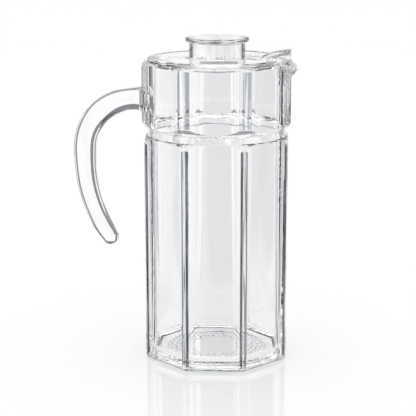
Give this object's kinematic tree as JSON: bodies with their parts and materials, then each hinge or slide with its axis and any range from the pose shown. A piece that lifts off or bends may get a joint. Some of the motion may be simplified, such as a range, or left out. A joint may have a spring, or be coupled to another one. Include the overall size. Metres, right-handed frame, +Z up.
{
  "type": "glass pitcher with lid",
  "caption": "Octagonal clear glass water jug with a faceted collar, pulled pouring lip, open J-shaped glass handle and a loose clear lid with beak and knob.",
  "frame": {"origin": "on the jug's axis, in the plane of the foot that it stands on", "axes": "+Z up along the jug's axis, +X towards the pouring lip, -X towards the handle, XZ is the mirror plane"},
  "size_m": [0.1634, 0.106, 0.2347],
  "materials": {
    "jug_glass": "clear pressed glass, fire polished",
    "lid_clear": "clear moulded plastic, glossy"
  },
  "bodies": {
    "jug": {"jug_body": "jug_glass", "handle": "jug_glass"},
    "lid": {"lid_plate": "lid_clear", "knob": "lid_clear"}
  },
  "joints": [
    {"name": "lid_lift", "type": "slide", "parent": "jug", "child": "lid", "axis": [0, 0, 1], "range_m": [0, 0.06]}
  ]
}
